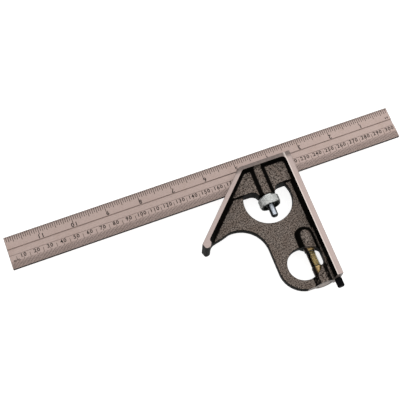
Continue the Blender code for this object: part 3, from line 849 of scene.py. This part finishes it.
def build_clamp():
    bolt_low = corners("clamp_bolt")[0]
    nut_low, nut_high = corners("clamp_nut")
    radius = nut_high.x - BOLT_X
    stud = STUD_RADIUS
    fork_radius, fork_top, fork_end = FORK
    fork = turned("clamp_fork", [(0, fork_top), (fork_radius - 0.4, fork_top), (fork_radius, fork_top - 0.4),
                                 (fork_radius, fork_end), (0, fork_end)], BOLT_X, [BLUED_PAINTED_LIGHT])
    gap = HALF_BLADE + 0.15
    slot = block("fork_slot", (BOLT_X - 8, -BLADE_WIDTH - 1.3, -gap), (BOLT_X + 8, fork_top + 3, gap))
    hook = block("hook", (BOLT_X - 3, GROOVE[1] + 0.15, gap - GROOVE_DEPTH),
                 (BOLT_X + 3, GROOVE[0] - 1.5, gap + 0.8))
    boolean(fork, slot)
    boolean(fork, hook, "UNION")
    apply(fork, slot, hook)
    smooth(apply(bevel(fork, 0.12)))
    finish(fork, "bolt", "bolt_steel", "clamp_bolt")

    def thread(turn, y):
        return THREAD_DEPTH * ridge(turn + y / THREAD_PITCH)

    start, end = fork_end - 1.2, bolt_low.y + 1.3
    tip = [(stud - 0.5, bolt_low.y + 1.0), (stud - 0.75, bolt_low.y + 0.45),
           (stud - 1.3, bolt_low.y + 0.12), (stud - 2.0, bolt_low.y), (0, bolt_low.y)]
    shank = turned("clamp_stud", [(0, fork_end + 0.3), (stud - 0.1, fork_end + 0.3), (stud - 0.1, start + 0.2)]
                   + rows(stud, start, end, 108) + tip, BOLT_X, [BLUED_PAINTED_LIGHT], 48, thread)
    smooth(shank, 50)
    finish(shank, "bolt", "bolt_steel")

    top, foot = COLLAR_FOOT, nut_low.y

    def knurl(turn, y):
        lean = (y - top) / KNURL_LEAN
        return KNURL_DEPTH * max(ridge(turn * KNURL_COUNT + lean), ridge(turn * KNURL_COUNT - lean))

    collar = COLLAR_RADIUS
    nut = turned("clamp_thumb_nut", [
        (NUT_BORE_RADIUS, nut_high.y), (collar - 0.25, nut_high.y), (collar, nut_high.y - 0.25),
        (collar, top + 0.45), (collar - 0.3, top + 0.35), (collar - 0.3, top),
        (radius - 0.9, top), (radius - 0.35, top - 0.25)]
        + rows(radius, top - 0.75, foot + 1.5, 26)
        + [(radius - 0.32, foot + 1.15), (radius - 0.55, foot + 0.45), (radius - 1.0, foot),
           (radius - 1.9, foot + 0.25), (radius - 2.1, -40.4), (radius - 2.4, -40.0), (4.3, -40.0),
           (4.0, -40.3), (4.0, foot + 1.5), (3.6, foot + 1.0), (NUT_BORE_RADIUS, foot + 1.0)],
        BOLT_X, [KNURLED, RECESS_SHADE], 276, knurl)
    # painted shade: the groove above the disc, the underside and the hollow take the near-black second
    # material
    for face in nut.data.polygons:
        middle, away = distance_off(face, BOLT_X)
        relief = away < collar - 0.05 and top < middle.y < top + 0.5
        underside = away < radius - 0.6 and middle.y < foot + 0.6
        hollow = away < radius - 1.5 and middle.y < -39.0
        if relief or underside or hollow:
            face.material_index = 1
    smooth(nut, 30)
    finish(nut, "nut", "nut_zinc", "clamp_nut")

    first, last = fork_end - 0.47, BORE_END + 0.47
    dead, live, steps = 0.75, 2.5, 40
    points = []
    for i in range(int((2 * dead + live) * steps) + 1):
        turn = i / steps
        climb = min(max((turn - dead) / live, 0), 1)
        rise = first + (last - first) * (0.12 + 0.76 * climb)
        rise += (last - first) * 0.12 * (min(turn / dead, 1) - 1 + max((turn - dead - live) / dead, 0))
        points.append((BOLT_X + COIL_RADIUS * cos(2 * pi * turn), rise, COIL_RADIUS * sin(2 * pi * turn)))
    coil = wire("clamp_coil", points, WIRE_RADIUS, 4, WIRE)
    finish(coil, "head", "spring_steel", "clamp_spring")


# ---------------------------------------------------------------- spirit level

def build_level():
    glass_low, glass_high = corners("vial_glass")
    outer = glass_high.x - VIAL_X
    inner = outer - GLASS_WALL
    top, end = glass_high.y, glass_low.y
    stopper = corners("vial_stopper")[1].y

    tube = turned("vial_tube", [
        (0, top), (outer - 1.1, top), (outer - 0.5, top - 0.15), (outer - 0.12, top - 0.5),
        (outer, top - 1.0), (outer, end + 0.2), (outer - 0.2, end), (inner + 0.1, end),
        (inner, end + 0.1), (inner, top - 1.6),
        (inner - 0.2, top - 1.1), (inner - 0.7, top - 0.8), (0, top - 0.8)], VIAL_X, [GLASS], 72)
    smooth(tube, 50)
    finish(tube, "head", "vial_glass", "vial_glass")

    reach = inner - CLEARANCE
    liquid = turned("vial_fluid", [
        (0, top - 0.95), (reach - 0.7, top - 0.95), (reach - 0.2, top - 1.2), (reach, top - 1.7),
        (reach, stopper + 0.15), (reach - 0.1, stopper + 0.1), (0, stopper + 0.1)], VIAL_X, [SPIRIT], 72)
    bm = bmesh.new()
    bmesh.ops.create_uvsphere(bm, u_segments=48, v_segments=32, radius=1.0)
    wide, long, deep = BUBBLE_RADII
    for vertex in bm.verts:
        flat = sqrt(vertex.co.x ** 2 + vertex.co.z ** 2)
        vertex.co = place(VIAL_X + vertex.co.x * wide, BUBBLE_Y + long * vertex.co.y * (1 + 0.12 * flat),
                          reach - 0.85 + vertex.co.z * deep)
    bubble = mesh_object("bubble", bm, [BUBBLE])
    boolean(liquid, bubble, transfer=True)
    apply(liquid, bubble)
    smooth(liquid, 40)
    finish(liquid, "head", "vial_spirit", "vial_spirit")

    half, steps = MENISCUS_RADIUS, 48
    points = []
    for i in range(steps):
        across, along = half * cos(2 * pi * i / steps), half * sin(2 * pi * i / steps)
        along += 2.5 if i < steps / 2 else -2.5
        points.append((VIAL_X + across, BUBBLE_Y + along, sqrt(reach ** 2 - across ** 2)))
    meniscus = wire("vial_meniscus", points, 0.13, 3, BUBBLE_EDGE, closed=True)
    finish(meniscus, "head", "vial_spirit")

    for i, y in enumerate(RING_HEIGHTS):
        band = turned(f"vial_ring_{i + 1}", [
            (outer - 0.02, y + 0.2), (outer + 0.035, y + 0.17), (outer + 0.045, y), (outer + 0.035, y - 0.17),
            (outer - 0.02, y - 0.2)], VIAL_X, [RING], 72)
        finish(smooth(band), "head", "vial_glass")

    for node in ("vial_collar_upper", "vial_collar_lower"):
        low, high = corners(node)
        wide = high.x - VIAL_X
        hole = outer + CLEARANCE
        groove = [(wide, low.y + 1.5), (wide - 0.18, low.y + 1.35), (wide - 0.18, low.y + 1.15),
                  (wide, low.y + 1.0)]
        sleeve = turned(node.replace("vial_collar", "brass_sleeve"), [
            (hole, high.y - 0.1), (hole + 0.1, high.y), (wide - 0.15, high.y), (wide, high.y - 0.15), *groove,
            (wide, low.y + 0.15), (wide - 0.15, low.y), (hole + 0.1, low.y), (hole, low.y + 0.1)],
            VIAL_X, [BRASS], 72)
        finish(smooth(sleeve), "head", "collar_brass", node)

    low, high = corners("vial_stopper")
    bung = turned("vial_bung", [(0, high.y), (inner - 0.3, high.y), (reach, high.y - 0.3),
                                (reach, low.y + 0.2), (inner - 0.25, low.y), (1.0, low.y),
                                (0.8, low.y + 0.5), (0, low.y + 0.5)], VIAL_X, [BRASS], 48)
    finish(smooth(bung), "head", "vial_stopper", "vial_stopper")

    low, high = corners("vial_plug")
    wide = high.x - VIAL_X
    stub = VIAL_BORE_RADIUS - CLEARANCE
    seat = PLUG_SEAT - CLEARANCE
    plug = turned("level_plug", [(0, high.y), (stub - 0.2, high.y), (stub, high.y - 0.2), (stub, seat),
                                 (wide - 0.1, seat), (wide, seat - 0.1), (wide, low.y + 0.5),
                                 (wide - 0.4, low.y + 0.1), (wide - 0.8, low.y), (0, low.y)],
                  VIAL_X, [PLUG, RING], 72)
    for face in plug.data.polygons:
        if distance_off(face, VIAL_X)[1] > wide - 0.7:
            face.material_index = 1
    finish(smooth(plug), "head", "vial_plug", "vial_plug")


# ---------------------------------------------------------------- scriber

def build_scriber():
    low, high = corners("scriber_shaft")
    shaft = turned("scriber_pin", [(0, high.y), (0.12, high.y - 0.35), (0.95, high.y - 6.6),
                                   (1.0, high.y - 7.2), (1.0, low.y + 0.1), (0.9, low.y), (0, low.y)],
                   SCRIBER_X, [POLISHED], 40)
    finish(smooth(shaft), "scriber", "scriber_steel", "scriber_shaft")

    low, high = corners("scriber_knob")
    wide = high.x - SCRIBER_X
    hole = KNOB_BORE_RADIUS
    socket = corners("scriber_shaft")[0].y - 0.1

    def flutes(turn, y):
        return 0.16 * ridge(turn * 30)

    knob = turned("scriber_grip", [(0, socket), (hole, socket), (hole, high.y), (wide - 0.6, high.y),
                                   (wide - 0.2, high.y - 0.35)]
                  + rows(wide, high.y - 0.6, low.y + 0.8, 3)
                  + [(wide - 0.2, low.y + 0.5), (wide - 0.6, low.y), (0, low.y)],
                  SCRIBER_X, [KNOB], 180, flutes)
    finish(smooth(knob), "scriber", "knob_black", "scriber_knob")

    low, high = corners("scriber_bush")
    wide = high.x - SCRIBER_X
    bush = turned("scriber_sleeve", [(hole + 0.12, high.y), (wide - 0.12, high.y), (wide, high.y - 0.12),
                                     (wide, low.y + 0.15), (wide - 0.15, low.y), (hole + 0.15, low.y),
                                     (hole, low.y + 0.15), (hole, high.y - 0.12)], SCRIBER_X, [BRASS], 48)
    slit = block("slit", (SCRIBER_X - 0.3, low.y - 2, 0.2), (SCRIBER_X + 0.3, high.y + 2, 5))
    boolean(bush, slit)
    apply(bush, slit)
    finish(smooth(bush), "head", "bush_brass", "scriber_bush")


# ---------------------------------------------------------------- stage

CAMERA_PLACE = (-0.11586, -0.19317, 0.67895)
CAMERA_TURN = (20.8244, -1.5782, -20.8050)
CAMERA_LENS = 87.23


def area_light(name, where, target, size, power):
    light = bpy.data.lights.new(name, "AREA")
    light.shape = "DISK"
    light.size = size
    light.energy = power
    obj = bpy.data.objects.new(name, light)
    bpy.context.scene.collection.objects.link(obj)
    obj.location = where
    obj.rotation_euler = (Vector(where) - Vector(target)).to_track_quat("Z", "Y").to_euler()


def build_stage():
    scene = bpy.context.scene
    scene.view_settings.view_transform = "Standard"
    f = Finish("studio_floor", (0.5, 0.5, 0.495), 0.9, Specular_IOR_Level=0.1)
    f.link(f.mix(f.ramp(f.noise(60.0), 0.3, 0.7), (0.48, 0.48, 0.475), (0.52, 0.52, 0.515)), "Base Color")
    f.set("Emission Color", (1.0, 1.0, 1.0, 1.0))
    f.set("Emission Strength", 0.85)
    f.bump(f.noise(3.0), 0.02, 0.3)
    bm = bmesh.new()
    bmesh.ops.create_grid(bm, x_segments=8, y_segments=8, size=1.6)
    floor = mesh_object("floor", bm, [f.material])
    floor.location.z = -0.0003

    world = bpy.data.worlds.new("studio")
    scene.world = world
    world.use_nodes = True
    background = world.node_tree.nodes["Background"]
    background.inputs["Color"].default_value = (1.0, 1.0, 1.0, 1.0)
    sky = world.node_tree.nodes.new("ShaderNodeTexCoord")
    height = world.node_tree.nodes.new("ShaderNodeSeparateXYZ")
    fade = world.node_tree.nodes.new("ShaderNodeMapRange")
    for label, value in (("From Min", 0.05), ("From Max", 0.75), ("To Min", 0.08), ("To Max", 0.9)):
        fade.inputs[label].default_value = value
    world.node_tree.links.new(sky.outputs["Generated"], height.inputs[0])
    world.node_tree.links.new(height.outputs["Z"], fade.inputs["Value"])
    world.node_tree.links.new(fade.outputs[0], background.inputs["Strength"])

    area_light("key", (0.55, 0.25, 0.75), (0.05, 0.0, 0.0), 0.9, 1.3)
    area_light("fill", (-0.2, 0.5, 0.7), (0.0, 0.0, 0.0), 0.5, 0.4)

    lens = bpy.data.cameras.new("camera")
    lens.sensor_width = 36
    lens.lens = CAMERA_LENS
    lens.clip_start = 0.01
    camera = bpy.data.objects.new("camera", lens)
    scene.collection.objects.link(camera)
    camera.location = CAMERA_PLACE
    camera.rotation_euler = [radians(angle) for angle in CAMERA_TURN]
    scene.camera = camera


build_stage()
build_head()
build_blade()
build_numerals()
build_clamp()
build_level()
build_scriber()
